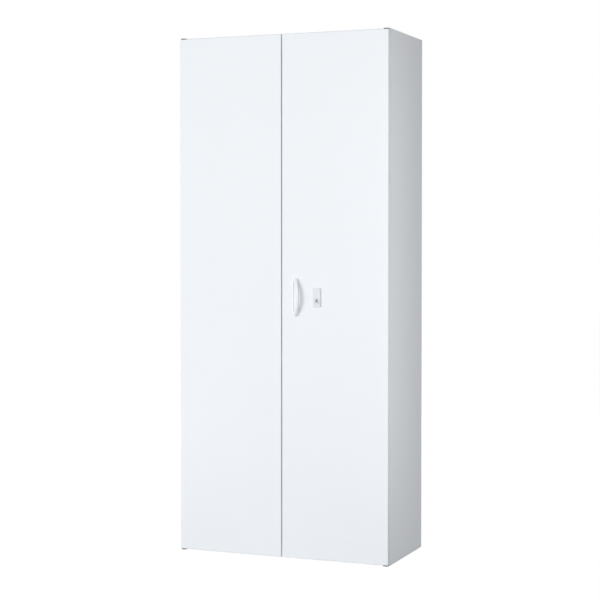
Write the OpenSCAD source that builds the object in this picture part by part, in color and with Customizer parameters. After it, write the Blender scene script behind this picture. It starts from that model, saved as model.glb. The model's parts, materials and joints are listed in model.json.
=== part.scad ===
// Tall two-door steel storage cabinet with adjustable shelves and a three-way key lock.
// Millimetres. +Z is up, the doors face -Y and +X is to the right of a person facing the doors.
// The origin is on the floor, at the middle of the overall width and of the overall depth.

/* [Cabinet] */
// Overall width
cab_w = 900; // [760:10:1200]
// Overall height
cab_h = 2100; // [1900:10:2300]
// Depth of the carcass behind the doors
carcass_d = 407; // [360:1:560]
// Thickness of the folded sheet
sheet_t = 1; // [0.8:0.1:1.2]
// Outer radius of a fold
bend_r = 2; // [1.6:0.1:2.4]
// Width of the side panels' front and rear folds
fold_w = 22; // [20:1:30]
// Depth of the lip behind the front fold
lip_d = 12; // [8:1:16]
// Height of the base, up to the floor of the bottom compartment
base_h = 50; // [46:1:80]
// Height of the header above the door opening
header_h = 50; // [40:1:80]
// Depth of the header's underside
header_d = 30; // [26:1:40]
// Width of the base's turned-in lips
base_lip = 20; // [18:1:30]
// Depth of the turned-down edges of the top and bottom panels
edge_drop = 14; // [8:1:15]

/* [Doors] */
// Thickness of a door
door_t = 20; // [18:1:24]
// Gap between the two doors
centre_gap = 4; // [3:0.5:5]
// Gap between a closed door and the carcass
door_clear = 3; // [3:0.5:5]
// Gap above and below a door
end_gap = 5; // [5:0.5:8]
// Width of a door's folded lips
door_lip = 12; // [8:1:16]
// Height of the lips at a door's top and bottom
door_end_lip = 35; // [30:1:60]
// Overlap of a door's liner on its lips
liner_lap = 8; // [4:1:8]
// Width of the stiffener inside a door
stiffener_w = 80; // [50:1:120]
// Width of the stiffener's open flanges
stiffener_flange = 18; // [12:1:24]
// Least gap between the stiffener and the lock's nut
stiffener_gap = 8; // [4:1:20]

/* [Hinges] */
// Distance of the hinge axis from a door's outer side
axis_in = 8; // [8:0.5:10]
// Distance of the hinge axis from a door's back
axis_back = 7; // [7:0.5:9]
// Radius of a hinge pin
pin_r = 3; // [2:0.1:3.4]
// Length of a pin below or above its bracket
pin_len = 20; // [14:1:24]
// Outer radius of a hinge bush
bush_r = 5; // [4.5:0.1:5.5]
// Radius of the bush's flange
bush_flange_r = 7; // [6:0.1:7]
// Running clearance round a hinge pin
run_clear = 0.05; // [0.02:0.01:0.1]
// Thickness of a hinge bracket
bracket_t = 2.5; // [2:0.1:3]
// Reach of a bracket behind the carcass front
bracket_in = 46; // [30:1:60]
// Height of a bracket's leg
bracket_leg = 28; // [20:1:32]
// Radius of a bracket's rounded front corners
bracket_corner = 5; // [3:0.5:6]
// Thickness of the gusset that carries a bush
gusset_t = 3; // [2:0.5:5]
// Width of that gusset
gusset_w = 60; // [30:1:90]

/* [Shelves] */
// Thickness of a shelf
shelf_h = 25; // [20:1:35]
// Width of the turned-back lips under a shelf's front and rear
shelf_lip = 15; // [10:1:25]
// Gap between a shelf and the uprights
shelf_side_gap = 3; // [2.5:0.5:5]
// Gap between a shelf's front and the carcass front
shelf_set_back = 26; // [22:1:60]
// Gap between a shelf's rear and the back panel
shelf_rear_gap = 12; // [4:1:30]
// Height of the lowest slot
slot_base = 70; // [60:1:100]
// Distance between slots
slot_pitch = 50; // [25:1:60]
// Height of a slot
slot_h = 12; // [10:0.5:14]
// Width of a slot
slot_w = 4; // [3.5:0.1:6]
// Slots below the lowest shelf
low_slots = 6; // [3:1:7]
// Slots from one shelf to the next
shelf_slots = 7; // [4:1:7]
// Width of an upright
upright_w = 25; // [20:1:35]
// Depth of an upright
upright_d = 15; // [12:1:17]
// Distance of the front upright from the carcass front
upright_front = 52; // [50:1:90]
// Distance of the rear upright from the back panel
upright_rear = 30; // [20:1:60]

/* [Shelf clips] */
// Reach of a clip under its shelf
clip_reach = 20; // [14:1:30]
// Width of a clip
clip_w = 16; // [12:1:20]
// Thickness of a clip's ledge and plate
clip_t = 2; // [1.5:0.1:2.2]
// Thickness of a clip's hook
hook_t = 3; // [2:0.1:3.2]
// Height of a clip's plate below its ledge
clip_drop = 14; // [12:1:20]
// Gap between a clip's hook and the upright's sheet
hook_gap = 1; // [0.5:0.1:1.5]

/* [Handle] */
// Overall reach of the handle in front of the doors
handle_reach = 33; // [30:0.5:45]
// Overall length of the handle
handle_len = 152; // [130:1:180]
// Distance of the handle's feet from the middle of the cabinet
handle_x = 63; // [50:1:90]
// Height of the handle's middle
handle_z = 1049; // [900:1:1200]
// Lean of the bow towards the hinge side
handle_lean = 42; // [30:1:50]
// Turn of the bow's front face towards the middle of the cabinet
bow_turn = 15; // [0:1:30]
// Width of the bow's front face
bow_w = 11.5; // [9:0.5:16]
// Depth of the bow's section
bow_t = 12; // [9:0.5:14]
// Corner radius of the bow's section
bow_r = 4; // [3:0.1:4.4]
// Thickness of the handle's base plate
plate_t = 6; // [4:0.5:8]
// Width of the base plate on the centre side of the feet
plate_in = 11; // [8:1:18]
// Width of the base plate on the hinge side of the feet
plate_out = 10; // [8:1:16]
// Width of the rim around the dish in the base plate
dish_rim = 2; // [1.5:0.1:3]
// Thickness of the floor of the dish
dish_floor = 1.2; // [1:0.1:3]
// Radius of a handle foot
foot_post_r = 7; // [6:0.5:8]
// Radius of a handle screw
handle_screw_r = 2.5; // [2:0.1:3]

/* [Lock] */
// Distance of the lock from the middle of the cabinet
lock_x = 153; // [148:1:220]
// Height of the lock's axis
lock_z = 1034; // [900:1:1200]
// Width of the lock plate
lock_plate_w = 31; // [30:1:40]
// Height of the lock plate
lock_plate_h = 75; // [60:1:90]
// Distance from the plate's lower edge to the lock's axis
lock_plate_low = 23; // [18:1:30]
// Thickness of the lock plate
lock_plate_t = 8; // [6:0.5:9]
// Corner radius of the lock plate
lock_plate_r = 3; // [1:0.5:6]
// Radius of the bezel round the key plug
bezel_r = 13.5; // [12:0.5:14.5]
// Height of the bezel above the plate
bezel_t = 1.5; // [1:0.1:2.5]
// Radius of the lock barrel
barrel_r = 10; // [9:0.5:11]
// Radius of the key plug
plug_r = 7; // [6:0.1:7.5]
// Height of the key slot
key_slot_h = 9; // [7:0.5:10]
// Width of the key slot
key_slot_w = 2.4; // [1.5:0.1:3]
// Radius of the circle of the cam's pins
cam_pin_circle = 12; // [11:0.5:14]
// Radius of a cam pin
cam_pin_r = 2.5; // [2:0.1:3]
// Thickness of the cam
cam_t = 3; // [2:0.1:3]
// Width of the cam's rim beyond its pins
cam_rim = 1; // [0.5:0.1:1.4]
// Gap between the cam and the liner
cam_stand = 3; // [2:0.5:5]
// Thickness of the rods and of the bolt
bar_t = 3; // [2:0.1:3]
// Width of the rods and of the bolt
bar_w = 12; // [10:0.5:14]
// Gap between the layers of the lock
layer_gap = 1; // [0.8:0.1:1.5]
// Gap between a bar and the circle of the cam's pins
bar_gap = 1.5; // [1:0.1:3]
// Clearance of a pin in its fork
fork_clear = 0.7; // [0.5:0.05:1]
// Width of a fork's prong
prong_w = 3; // [2:0.1:3.2]
// Distance of a prong's tip from the lock's axis
fork_tip = 4; // [3:0.5:5]
// Clearance of a bar in its guide
guide_clear = 0.3; // [0.2:0.05:0.6]
// Wall of a guide
guide_wall = 2; // [1.5:0.1:3]
// Height of a rod guide along its rod
guide_len = 18; // [12:1:30]
// Distance of the end guides from the door opening's ends
guide_end_gap = 90; // [60:1:160]
// Wall of the lock's cover
cover_t = 1.2; // [1:0.1:2]
// Gap between the bars and the cover's sides
cover_gap = 4; // [3:0.5:8]
// Length of the cover's ears
cover_ear = 12; // [10:1:16]
// Gap between a resting rod's tip and its strike plate
rod_rest_gap = 4.5; // [3:0.5:8]
// Thickness of the strike plates
strike_t = 1.5; // [1:0.1:2.5]
// Clearance round a rod in its strike plate
strike_clear = 2; // [1:0.1:2.4]
// Distance of the resting bolt's tip from the middle of the cabinet
bolt_rest = 3; // [2:0.5:4]
// Distance of the keeper from the middle of the cabinet
keeper_x = 5; // [4:0.5:8]
// Width of the keeper
keeper_w = 22; // [18:1:26]
// Thickness of the lock's nut
lock_nut_t = 5; // [3:0.5:6]
// Width across the flats of the lock's nut
lock_nut_af = 27; // [25:0.5:30]
// Depth of the key slot
key_slot_d = 12; // [8:1:16]
// Depth of the key plug's face below the bezel
plug_sunk = 0.5; // [0.2:0.1:1]

/* [Catches] */
// Distance of the catches from the middle of the cabinet
catch_x = 80; // [60:1:110]
// Width of a magnetic catch
catch_w = 44; // [30:1:50]
// Height of a magnetic catch
catch_h = 16; // [12:1:18]
// Thickness of the steel plate that a catch holds
catch_plate_t = 1.5; // [1:0.1:2]
// Rest gap between parts that meet when a door closes
meet_gap = 0.3; // [0.2:0.05:0.5]
// Distance of the door bumpers from the middle of the cabinet
bumper_x = 30; // [20:1:45]
// Radius of a door bumper
bumper_r = 5; // [3:0.5:8]

/* [Feet] */
// Distance of a foot from the cabinet's side
foot_in_x = 45; // [42:1:80]
// Distance of a front foot from the carcass front
foot_front = 50; // [46:1:90]
// Distance of a rear foot from the back panel
foot_rear = 46; // [44:1:90]
// Radius of a foot's pad
foot_r = 16; // [12:0.5:18]
// Thickness of a foot's pad
foot_pad_h = 10; // [6:1:12]
// Radius of a foot's threaded stem
stem_r = 5; // [4:0.5:6]
// Height of a foot bracket's plate above the floor
foot_plate_z = 20; // [18:1:24]
// Thickness of a foot bracket
foot_bracket_t = 3; // [2:0.5:4]
// Width of a foot bracket
foot_bracket_w = 50; // [44:1:54]
// Height of a foot's weld nut
foot_nut_h = 8; // [6:0.5:10]
// Width across the flats of a foot's weld nut
foot_nut_af = 17; // [16:0.5:22]
// Chamfer of a foot's pad
foot_chamfer = 2; // [1:0.5:3]
// Gap between a foot's stem and the floor panel
stem_gap = 4; // [3:0.5:8]
// Width of the screwdriver slot in a foot's stem
stem_slot_w = 2; // [1:0.1:2.5]
// Depth of that slot
stem_slot_d = 3; // [1:0.5:4]
// Radius of the holes above the feet
plug_hole_r = 8; // [7:0.5:9]
// Width of a hole plug's rim
plug_rim = 3; // [2:0.5:4]
// Thickness of a hole plug
plug_t = 1.5; // [1:0.1:2]

/* [Fixing holes] */
// Radius of the wall fixing holes
wall_hole_r = 4.5; // [3:0.1:7]
// Distance across between wall fixing holes
wall_hole_dx = 600; // [400:10:700]
// Distance up between wall fixing holes
wall_hole_dz = 300; // [100:10:400]
// Depth of the upper wall holes below the top
wall_hole_top = 120; // [80:10:250]
// Radius of the floor fixing holes
floor_hole_r = 5; // [3:0.1:7]
// Distance across between floor fixing holes
floor_hole_dx = 600; // [300:10:620]

/* [Screws] */
// Head radius of the small screws
small_head_r = 4; // [3:0.1:4.5]
// Head height of the small screws
small_head_h = 1.6; // [1:0.1:2]
// Shank radius of the small screws
small_screw_r = 2; // [1.5:0.1:2.2]
// Length of a strike screw beyond the sheet
strike_screw_end = 3; // [1:0.5:6]
// Clearance round a fixed round part in its hole
fit_clear = 0.1; // [0.05:0.01:0.15]

/* [Hidden] */
$fn = 48;
eps = 0.01;

// Planes across the depth, from the back to the front of the doors
y_back = (carcass_d + door_clear + door_t + handle_reach) / 2;
y_front = y_back - carcass_d;
y_door_back = y_front - door_clear;
y_door_face = y_door_back - door_t;
y_panel = y_back - 2 * sheet_t;

// Half widths: outside, inside of the side sheets, edge of the front folds
x_out = cab_w / 2;
x_in = x_out - sheet_t;
x_fold = x_out - fold_w;
x_upright = x_in - upright_d;
x_shelf = x_upright - shelf_side_gap;

// Heights
z_top_under = cab_h - sheet_t;
z_header = cab_h - header_h;
z_door_low = end_gap;
z_door_high = cab_h - end_gap;

// Hinge axis of the right door
axis_x = x_out - axis_in;
axis_y = y_door_back - axis_back;

// Planes of the lock's layers behind the right door's liner
y_liner_back = y_door_back - sheet_t;
y_cam = y_liner_back + cam_stand;
y_rod = y_cam + cam_t + layer_gap;
y_bolt = y_rod + bar_t + 2 * layer_gap;
y_cover = y_bolt + bar_t + 2 * layer_gap;

// The cam turns a quarter, so a pin 45 degrees off its middle travels this far
lock_turn = 90;
rod_travel = 2 * cam_pin_circle * sin(lock_turn / 2);
pin_off = cam_pin_circle * cos(lock_turn / 2);
fork_half = cam_pin_r + fork_clear;
prong_far = fork_half + prong_w;
bar_off = cam_pin_circle + cam_pin_r + bar_gap;

// Places of the locking bars
top_rod_x = lock_x + bar_off + bar_w / 2;
low_rod_x = lock_x - bar_off - bar_w / 2;
bolt_z = lock_z + bar_off + bar_w / 2;
rod_y = y_rod + bar_t / 2;
top_rod_tip = z_header - strike_t - rod_rest_gap;
low_rod_tip = base_h + strike_t + rod_rest_gap;

// Shapes shared by several pieces

function pair(middle, half) = [middle - half, middle + half];

module block(a, b) {
    translate(a) cube(b - a);
}

module at_sides() {
    children();
    mirror([1, 0, 0]) children();
}

module rounded_area(x0, y0, x1, y1, r) {
    translate([x0 + r, y0]) square([x1 - x0 - 2 * r, y1 - y0]);
    translate([x0, y0 + r]) square([x1 - x0, y1 - y0 - 2 * r]);
    for (x = [x0 + r, x1 - r], y = [y0 + r, y1 - r]) translate([x, y]) circle(r);
}

// Folded tube of sheet, seen from its end
module folded_ring(x0, y0, x1, y1) {
    difference() {
        rounded_area(x0, y0, x1, y1, bend_r);
        rounded_area(x0 + sheet_t, y0 + sheet_t, x1 - sheet_t, y1 - sheet_t, bend_r - sheet_t);
    }
}

// Cylinder along Y from y0 to y1
module y_cylinder(x, y0, y1, z, r) {
    translate([x, y1, z]) rotate([90, 0, 0]) cylinder(h = y1 - y0, r = r);
}

// Round-headed screw along Y: its head starts at y and its shank runs len towards the doors' front
module y_screw(x, y, z, r, len) {
    y_cylinder(x, y - len, y + eps, z, r);
    y_cylinder(x, y, y + small_head_h, z, small_head_r);
}

// Upright screw: its head lies above z when up is 1 and below z when up is -1
module z_screw(x, y, z, up, r, len) {
    translate([x, y, z]) {
        translate([0, 0, up > 0 ? -len : -eps]) cylinder(h = len + eps, r = r);
        translate([0, 0, up > 0 ? 0 : -small_head_h]) cylinder(h = small_head_h, r = small_head_r);
    }
}

// Carcass

module side_panel() {
    notch = end_gap + sheet_t;
    difference() {
        union() {
            linear_extrude(cab_h) difference() {
                folded_ring(x_fold, y_front, x_out, y_back);
                translate([x_fold - 1, y_front + lip_d]) {
                    square([sheet_t + 1 + eps, carcass_d - lip_d - sheet_t]);
                }
                translate([x_fold - 1, y_back - bend_r - sheet_t]) {
                    square([sheet_t + bend_r, bend_r + sheet_t + 1]);
                }
            }
            block([x_fold + bend_r, y_front + bracket_in, 0], [x_in + eps, y_panel - base_lip, sheet_t]);
        }
        for (z = [-1, cab_h - notch]) {
            block([x_fold - 1, y_front - 1, z], [x_in, y_front + lip_d + 1, z + notch + 1]);
        }
        block([x_fold - 1, y_panel, z_top_under], [x_in, y_back + 1, cab_h + 1]);
    }
}

module left_side_panel() {
    color("white") mirror([1, 0, 0]) side_panel();
}

module right_side_panel() {
    color("white") side_panel();
}

module top_panel() {
    color("whitesmoke") {
        block([-x_in, y_front, z_top_under], [x_in, y_back, cab_h]);
        block([-x_fold, y_panel - sheet_t, z_top_under - edge_drop], [x_fold, y_panel, z_top_under + eps]);
        at_sides() {
            block(
                [x_in - sheet_t, y_front + bracket_in + upright_w, z_top_under - edge_drop],
                [x_in, y_panel - base_lip, z_top_under + eps]
            );
        }
    }
}

module bottom_panel() {
    color("whitesmoke") difference() {
        union() {
            block([-x_fold, y_front, base_h - sheet_t], [x_fold, y_panel, base_h]);
            at_sides() {
                block([0, y_front + lip_d, base_h - sheet_t], [x_in, y_panel, base_h]);
                block(
                    [x_in - sheet_t, y_front + bracket_in + upright_w, base_h - edge_drop],
                    [x_in, y_panel - base_lip, base_h]
                );
            }
            block([-x_fold, y_front, 0], [x_fold, y_front + sheet_t, base_h]);
            block([-x_fold, y_front, 0], [x_fold, y_front + base_lip, sheet_t]);
            block([-x_fold, y_panel - sheet_t, 0], [x_fold, y_panel, base_h]);
            block([-x_fold, y_panel - base_lip, 0], [x_fold, y_panel, sheet_t]);
        }
        for (x = pair(0, floor_hole_dx / 2), y = floor_hole_ys()) {
            translate([x, y, -1]) cylinder(h = sheet_t + 2, r = floor_hole_r);
        }
        for (p = foot_places()) {
            translate([p.x, p.y, base_h - sheet_t - 1]) cylinder(h = sheet_t + 2, r = plug_hole_r);
        }
        rod_slot(low_rod_x, base_h - sheet_t - 1, sheet_t + 2);
        for (x = strike_screw_xs(low_rod_x)) {
            translate([x, rod_y, base_h - sheet_t - 1]) cylinder(h = sheet_t + 2, r = small_screw_r);
        }
    }
}

function floor_hole_ys() = [y_front + base_lip / 2 + sheet_t, y_panel - base_lip / 2 - sheet_t];

// The back panel stops where the side panels' rear folds begin to bend
module back_panel() {
    x_end = x_out - bend_r;
    z_holes = cab_h - wall_hole_top - wall_hole_dz / 2;
    color("gainsboro") difference() {
        block([-x_end, y_panel, 0], [x_end, y_panel + sheet_t, z_top_under]);
        for (x = pair(0, wall_hole_dx / 2), z = pair(z_holes, wall_hole_dz / 2)) {
            y_cylinder(x, y_panel - 1, y_panel + sheet_t + 1, z, wall_hole_r);
        }
    }
}

module front_header() {
    x_end = x_fold - meet_gap;
    color("white") difference() {
        union() {
            block([-x_end, y_front, z_header], [x_end, y_front + sheet_t, z_top_under]);
            block([-x_end, y_front, z_header], [x_end, y_front + header_d, z_header + sheet_t]);
            block(
                [-x_end, y_front + header_d - sheet_t, z_header],
                [x_end, y_front + header_d, z_header + lip_d]
            );
            block([-x_end, y_front, z_top_under - sheet_t], [x_end, y_front + lip_d, z_top_under]);
        }
        rod_slot(top_rod_x, z_header - 1, sheet_t + 2);
        for (x = strike_screw_xs(top_rod_x)) {
            translate([x, rod_y, z_header - 1]) cylinder(h = sheet_t + 2, r = small_screw_r);
        }
    }
}

// Slot that a rod enters, cut upwards from z
module rod_slot(x, z, h) {
    half_w = bar_w / 2 + strike_clear;
    y0 = max(y_rod - strike_clear, y_front + sheet_t + eps);
    block([x - half_w, y0, z], [x + half_w, y_rod + bar_t + strike_clear, z + h]);
}

function strike_screw_xs(x) = pair(x, bar_w / 2 + strike_clear + small_head_r + 2);

module strike_plate(x, z) {
    half_w = bar_w / 2 + strike_clear + 2 * small_head_r + 4;
    y0 = y_front + sheet_t;
    difference() {
        block([x - half_w, y0, z], [x + half_w, y_front + header_d - 4 * sheet_t, z + strike_t]);
        rod_slot(x, z - 1, strike_t + 2);
        for (sx = strike_screw_xs(x)) {
            translate([sx, rod_y, z - 1]) cylinder(h = strike_t + 2, r = small_screw_r);
        }
    }
}

module strike_plates() {
    color("silver") {
        strike_plate(top_rod_x, z_header - strike_t);
        strike_plate(low_rod_x, base_h);
    }
}

module strike_screws() {
    len = strike_t + sheet_t + strike_screw_end;
    r = small_screw_r - fit_clear;
    color("silver") {
        for (x = strike_screw_xs(top_rod_x)) z_screw(x, rod_y, z_header - strike_t, -1, r, len);
        for (x = strike_screw_xs(low_rod_x)) z_screw(x, rod_y, base_h + strike_t, 1, r, len);
    }
}

// Shelf uprights: channels with a row of slots, which face the shelves

function upright_y(rear) = rear ? y_panel - upright_rear - upright_w : y_front + upright_front;
function slot_z(i) = slot_base + i * slot_pitch;

module upright(rear) {
    y0 = upright_y(rear);
    z1 = z_header + sheet_t;
    slots = floor((z1 - slot_base - slot_h) / slot_pitch);
    difference() {
        block([x_upright, y0, base_h], [x_in, y0 + upright_w, z1]);
        block([x_upright + sheet_t, y0 + sheet_t, base_h - 1], [x_in + 1, y0 + upright_w - sheet_t, z1 + 1]);
        for (i = [0 : slots]) {
            block(
                [x_upright - 1, y0 + (upright_w - slot_w) / 2, slot_z(i) - slot_h / 2],
                [x_upright + sheet_t + 1, y0 + (upright_w + slot_w) / 2, slot_z(i) + slot_h / 2]
            );
        }
    }
}

module upright_front_left() {
    color("lightgray") mirror([1, 0, 0]) upright(false);
}

module upright_front_right() {
    color("lightgray") upright(false);
}

module upright_rear_left() {
    color("lightgray") mirror([1, 0, 0]) upright(true);
}

module upright_rear_right() {
    color("lightgray") upright(true);
}

// Shelves: folded trays, open below

shelf_n = 5;

function clip_top(i) = slot_z(low_slots + i * shelf_slots) + slot_h / 2 - clip_t / 2;

module shelf(i) {
    z0 = clip_top(i);
    z1 = z0 + shelf_h;
    y0 = y_front + shelf_set_back;
    y1 = y_panel - shelf_rear_gap;
    color("white") {
        block([-x_shelf, y0, z1 - sheet_t], [x_shelf, y1, z1]);
        for (y = [y0, y1 - sheet_t]) block([-x_shelf, y, z0], [x_shelf, y + sheet_t, z1]);
        for (y = [y0, y1 - shelf_lip]) block([-x_shelf, y, z0], [x_shelf, y + shelf_lip, z0 + sheet_t]);
        at_sides() block([x_shelf - sheet_t, y0, z0], [x_shelf, y1, z1]);
    }
}

module shelf_1() { shelf(0); }
module shelf_2() { shelf(1); }
module shelf_3() { shelf(2); }
module shelf_4() { shelf(3); }
module shelf_5() { shelf(4); }

// Clip: a ledge for the shelf, a plate against the upright and a hook through its slot
module shelf_clip(rear, z) {
    y = upright_y(rear) + upright_w / 2;
    hook_top = z - clip_t;
    back = x_upright + sheet_t + hook_gap;
    block([x_upright - clip_reach, y - clip_w / 2, z - clip_t], [x_upright, y + clip_w / 2, z]);
    block([x_upright - clip_t, y - clip_w / 2, z - clip_drop], [x_upright, y + clip_w / 2, z]);
    block(
        [x_upright - clip_t, y - hook_t / 2, hook_top - slot_h / 2 + clip_t / 2],
        [back + clip_t, y + hook_t / 2, hook_top]
    );
    block([back, y - hook_t / 2, hook_top - slot_h], [back + clip_t, y + hook_t / 2, hook_top]);
}

module shelf_clips() {
    color("silver") {
        for (i = [0 : shelf_n - 1], rear = [false, true]) at_sides() shelf_clip(rear, clip_top(i));
    }
}

// Hinges: a bracket and a pin above and below each door

// Bottom right bracket, with its plate on the base's fold and its leg against the side
module hinge_bracket() {
    y0 = y_door_face + 2 * sheet_t;
    y1 = y_front + bracket_in;
    r = bracket_corner;
    difference() {
        union() {
            translate([0, 0, sheet_t]) linear_extrude(bracket_t) {
                translate([x_fold, y0 + r]) square([x_in - x_fold, y1 - y0 - r]);
                translate([x_fold + r, y0]) square([x_in - x_fold - 2 * r, r + eps]);
                for (x = [x_fold + r, x_in - r]) translate([x, y0 + r]) circle(r);
            }
            block([x_in - bracket_t, y_front + bend_r, sheet_t], [x_in, y1, sheet_t + bracket_leg]);
        }
        translate([axis_x, axis_y, 0]) cylinder(h = sheet_t + bracket_t + 1, r = pin_r + eps);
    }
}

module at_top() {
    translate([0, 0, cab_h]) mirror([0, 0, 1]) children();
}

module hinge_bracket_bottom_right() {
    color("dimgray") hinge_bracket();
}

module hinge_bracket_bottom_left() {
    color("dimgray") mirror([1, 0, 0]) hinge_bracket();
}

module hinge_bracket_top_right() {
    color("dimgray") at_top() hinge_bracket();
}

module hinge_bracket_top_left() {
    color("dimgray") at_top() mirror([1, 0, 0]) hinge_bracket();
}

module hinge_pin() {
    translate([axis_x, axis_y, sheet_t]) cylinder(h = bracket_t + pin_len, r = pin_r);
}

module hinge_pins() {
    color("silver") at_sides() {
        hinge_pin();
        at_top() hinge_pin();
    }
}

// Doors. Both are drawn as the right one; the left one is its mirror image.

x_free = centre_gap / 2;

module door_skin() {
    difference() {
        union() {
            translate([0, 0, z_door_low]) linear_extrude(z_door_high - z_door_low) difference() {
                folded_ring(x_free, y_door_face, x_out, y_door_back);
                translate([x_free + door_lip, y_liner_back - eps]) {
                    square([x_out - x_free - 2 * door_lip, sheet_t + 1]);
                }
            }
            for (z = [z_door_low, z_door_high - sheet_t]) {
                translate([0, 0, z]) linear_extrude(sheet_t) {
                    rounded_area(x_free, y_door_face, x_out, y_door_back, bend_r);
                }
            }
            for (z = [z_door_low, z_door_high - door_end_lip]) {
                block(
                    [x_free + door_lip - eps, y_liner_back, z],
                    [x_out - door_lip + eps, y_door_back, z + door_end_lip]
                );
            }
        }
        for (z = [z_door_low - 1, z_door_high - sheet_t - 1]) {
            translate([axis_x, axis_y, z]) cylinder(h = sheet_t + 2, r = bush_r + fit_clear);
        }
    }
}

module door_liner() {
    z_in = door_end_lip - liner_lap;
    block(
        [x_free + door_lip - liner_lap, y_liner_back - sheet_t, z_door_low + z_in],
        [x_out - door_lip + liner_lap, y_liner_back, z_door_high - z_in]
    );
}

// Hat-shaped channel between the skin and the liner
module door_stiffener() {
    lock_edge = lock_x + lock_nut_af / 2 / cos(30);
    x = max((x_free + x_out) / 2, lock_edge + stiffener_gap + stiffener_w / 2);
    y0 = y_door_face + sheet_t;
    y1 = y_liner_back - sheet_t;
    z0 = z_door_low + door_end_lip + liner_lap;
    z1 = z_door_high - door_end_lip - liner_lap;
    half = stiffener_w / 2;
    block([x - half, y0, z0], [x + half, y0 + sheet_t, z1]);
    for (s = [-1, 1]) {
        wall = [x + s * half - (s + 1) / 2 * sheet_t, y0, z0];
        block(wall, [wall.x + sheet_t, y1, z1]);
        flange_x = s > 0 ? wall.x : wall.x + sheet_t - stiffener_flange;
        block([flange_x, y1 - sheet_t, z0], [flange_x + stiffener_flange, y1, z1]);
    }
}

// Plates behind the skin's top and bottom that hold the bushes
module door_gusset() {
    z0 = z_door_low + sheet_t;
    difference() {
        block(
            [x_out - sheet_t - gusset_w, y_door_face + sheet_t, z0],
            [x_out - sheet_t - eps, y_liner_back, z0 + gusset_t]
        );
        for (y = [y_door_face + sheet_t, y_liner_back - bend_r + sheet_t]) {
            translate([x_out - bend_r, y, z0 - 1]) cube([bend_r, bend_r - sheet_t, gusset_t + 2]);
        }
        translate([axis_x, axis_y, z0 - 1]) cylinder(h = gusset_t + 2, r = bush_r + fit_clear);
    }
}

module door_gussets() {
    door_gusset();
    at_top() door_gusset();
}

module door_bush() {
    flange_t = end_gap - sheet_t - bracket_t - 2 * run_clear;
    translate([axis_x, axis_y, z_door_low]) difference() {
        union() {
            translate([0, 0, -flange_t]) cylinder(h = pin_len + flange_t, r = bush_r);
            translate([0, 0, -flange_t]) cylinder(h = flange_t, r = bush_flange_r);
        }
        translate([0, 0, -flange_t - 1]) cylinder(h = pin_len + flange_t + 2, r = pin_r + run_clear);
    }
}

module door_bushes() {
    door_bush();
    at_top() door_bush();
}

// Steel plates on a door's back, which meet the magnetic catches
module catch_plates() {
    for (z = [base_h + catch_plate_t, z_header - catch_h + catch_plate_t]) {
        block(
            [catch_x - catch_w / 2, y_door_back, z],
            [catch_x + catch_w / 2, y_door_back + catch_plate_t, z + catch_h - 2 * catch_plate_t]
        );
    }
}

module left_door_skin() {
    color("white") mirror([1, 0, 0]) door_skin();
}

module left_door_liner() {
    color("gainsboro") mirror([1, 0, 0]) difference() {
        door_liner();
        keeper_screw_holes();
    }
}

module left_door_stiffener() {
    color("lightgray") mirror([1, 0, 0]) door_stiffener();
}

module left_door_gussets() {
    color("lightgray") mirror([1, 0, 0]) door_gussets();
}

module left_door_bushes() {
    color("darkgray") mirror([1, 0, 0]) door_bushes();
}

module left_catch_plates() {
    color("silver") mirror([1, 0, 0]) catch_plates();
}

module right_door_skin() {
    color("white") difference() {
        door_skin();
        y_cylinder(lock_x, y_door_face - 1, y_door_face + sheet_t + 1, lock_z, barrel_r + fit_clear);
        for (z = handle_screw_zs()) {
            y_cylinder(handle_x, y_door_face - 1, y_door_face + sheet_t + 1, z, handle_screw_r + fit_clear);
        }
    }
}

module right_door_liner() {
    color("gainsboro") difference() {
        door_liner();
        y0 = y_liner_back - sheet_t - 1;
        y_cylinder(lock_x, y0, y_liner_back + 1, lock_z, barrel_r + fit_clear);
        for (z = handle_screw_zs()) y_cylinder(handle_x, y0, y_liner_back + 1, z, handle_screw_r + fit_clear);
    }
}

module right_door_stiffener() {
    color("lightgray") door_stiffener();
}

module right_door_gussets() {
    color("lightgray") door_gussets();
}

module right_door_bushes() {
    color("darkgray") door_bushes();
}

module right_catch_plates() {
    color("silver") catch_plates();
}

// Magnetic catches under the header and on the base, and bumpers that the doors close on

module magnet_catches() {
    y0 = y_door_back + catch_plate_t + meet_gap;
    y1 = y_front + header_d - 4 * sheet_t;
    color("darkgray") at_sides() for (z = [base_h, z_header - catch_h]) {
        block([catch_x - catch_w / 2, y0, z], [catch_x + catch_w / 2, y1, z + catch_h]);
    }
}

module door_bumpers() {
    len = door_clear - meet_gap;
    color("gray") at_sides() for (z = [base_h / 2, cab_h - header_h / 2]) {
        y_cylinder(bumper_x, y_front - len, y_front, z, bumper_r);
    }
}

// Handle: a leaning bow on a dished base plate

bow_reach = (bow_t / 2 - bow_r) * cos(bow_turn) + (bow_w / 2 - bow_r) * sin(bow_turn) + bow_r;
bow_base = plate_t + bow_r;
bow_half = handle_len / 2 - foot_post_r;
bow_sag = (handle_reach - bow_base - bow_reach) / cos(handle_lean);
bow_big_r = (bow_half * bow_half + bow_sag * bow_sag) / (2 * bow_sag);
bow_angle = asin(bow_half / bow_big_r);

dish_half = bow_half - foot_post_r - dish_rim;

function handle_screw_zs() = pair(handle_z, bow_half);

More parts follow.
